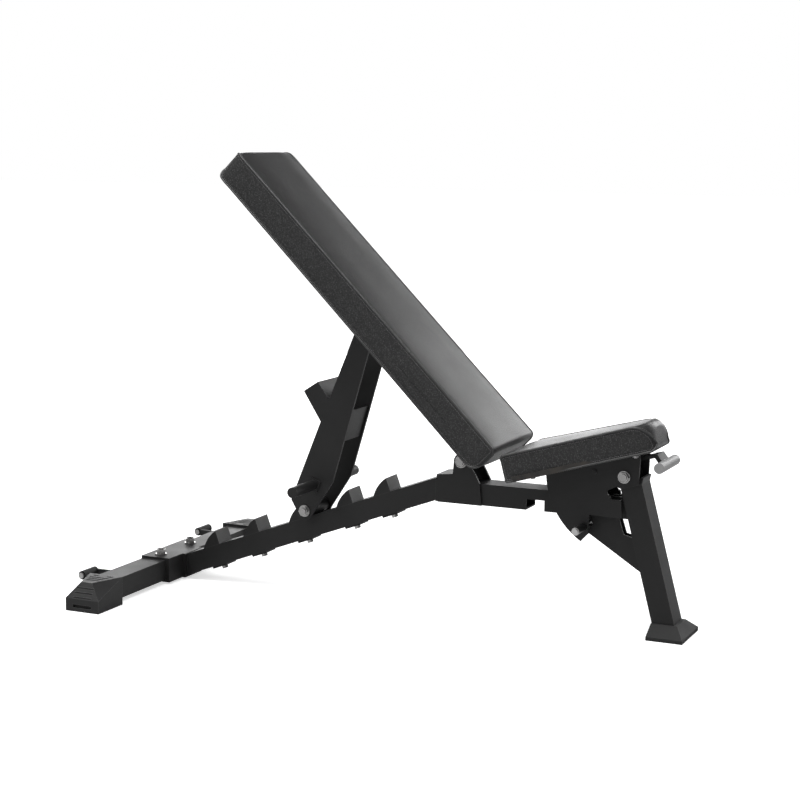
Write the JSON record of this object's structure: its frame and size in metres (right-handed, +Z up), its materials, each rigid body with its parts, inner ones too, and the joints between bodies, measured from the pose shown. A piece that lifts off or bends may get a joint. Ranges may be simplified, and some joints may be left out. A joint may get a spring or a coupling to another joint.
{
  "type": "adjustable weight bench",
  "caption": "Adjustable weight bench: padded backrest propped by an arm on a ladder of catches, tilting padded seat, rear crossbar with rollers, and a leaning front leg.",
  "frame": {"origin": "on the floor below the middle of the bench, on its plane of symmetry", "axes": "+X along the bench towards the seat and front leg, +Y across it, +Z up"},
  "size_m": [1.36, 0.8, 1.0196],
  "materials": {
    "black_steel": "satin black powder coat",
    "zinc_steel": "zinc plated",
    "cap_plastic": "moulded, fine texture",
    "rubber": "matt",
    "vinyl": "grained black vinyl over foam",
    "board": "black stained plywood",
    "grip": "grey sleeve"
  },
  "bodies": {
    "frame": {"cross_tube": "black_steel", "cap_left": "cap_plastic", "cap_right": "cap_plastic", "saddle": "black_steel", "saddle_bolts": "zinc_steel", "spine_flange": "black_steel", "roller_bracket_left": "black_steel", "roller_bracket_right": "black_steel", "roller_bolt_left": "zinc_steel", "roller_bolt_right": "zinc_steel", "spine_tube": "black_steel", "catch_1": "black_steel", "catch_2": "black_steel", "catch_3": "black_steel", "catch_4": "black_steel", "catch_5": "black_steel", "catch_bolts": "zinc_steel", "catch_plates": "black_steel", "mid_tube": "black_steel", "pivot_bracket": "black_steel", "back_pivot_bolt": "zinc_steel", "gussets": "black_steel", "leg_tube": "black_steel", "leg_head": "black_steel", "foot": "rubber", "seat_pivot_bolt": "zinc_steel"},
    "backrest": {"back_pad": "vinyl", "back_board": "board", "back_rails": "black_steel", "back_hinge": "black_steel", "arm_lugs": "black_steel", "arm_pivot_bolt": "black_steel", "back_screws": "zinc_steel"},
    "support_arm": {"arm_plate_left": "black_steel", "arm_plate_right": "black_steel", "arm_tie": "black_steel", "arm_stub_cover": "black_steel", "peg_left": "black_steel", "peg_right": "black_steel", "arm_axle": "zinc_steel", "arm_sleeve": "black_steel"},
    "seat": {"seat_pad": "vinyl", "seat_board": "board", "seat_plate_left": "black_steel", "seat_plate_right": "black_steel", "seat_tie": "black_steel", "seat_screws": "zinc_steel", "latch_rod": "black_steel", "lever_pin": "black_steel", "lever_spring": "zinc_steel"},
    "lever": {"lever_bar": "black_steel", "lever_tail": "black_steel", "lever_grip": "grip"},
    "roller_left": {"roller_left": "rubber"},
    "roller_right": {"roller_right": "rubber"}
  },
  "joints": [
    {"name": "backrest_tilt", "type": "hinge", "parent": "frame", "child": "backrest", "pos_m": [0.161, 0, 0.3443], "axis": [0, 1, 0], "range_deg": [0, 35]},
    {"name": "arm_swing", "type": "hinge", "parent": "backrest", "child": "support_arm", "pos_m": [-0.07553, 0, 0.60345], "axis": [0, 1, 0], "range_deg": [-28, 0]},
    {"name": "seat_tilt", "type": "hinge", "parent": "frame", "child": "seat", "pos_m": [0.5362, 0, 0.3422], "axis": [0, 1, 0], "range_deg": [0, 15.3]},
    {"name": "lever_pull", "type": "hinge", "parent": "seat", "child": "lever", "pos_m": [0.47, 0, 0.348], "axis": [0, 1, 0], "range_deg": [0, 8], "stiffness_Nm_per_rad": 4, "springref_deg": -28.65},
    {"name": "roller_left_spin", "type": "hinge", "parent": "frame", "child": "roller_left", "pos_m": [-0.67, 0.263, 0.051], "axis": [0, 1, 0], "continuous": true},
    {"name": "roller_right_spin", "type": "hinge", "parent": "frame", "child": "roller_right", "pos_m": [-0.67, -0.263, 0.051], "axis": [0, 1, 0], "continuous": true}
  ],
  "couplings": [
    {"joint": "arm_swing", "follows": "backrest_tilt", "ratio": -0.8}
  ]
}
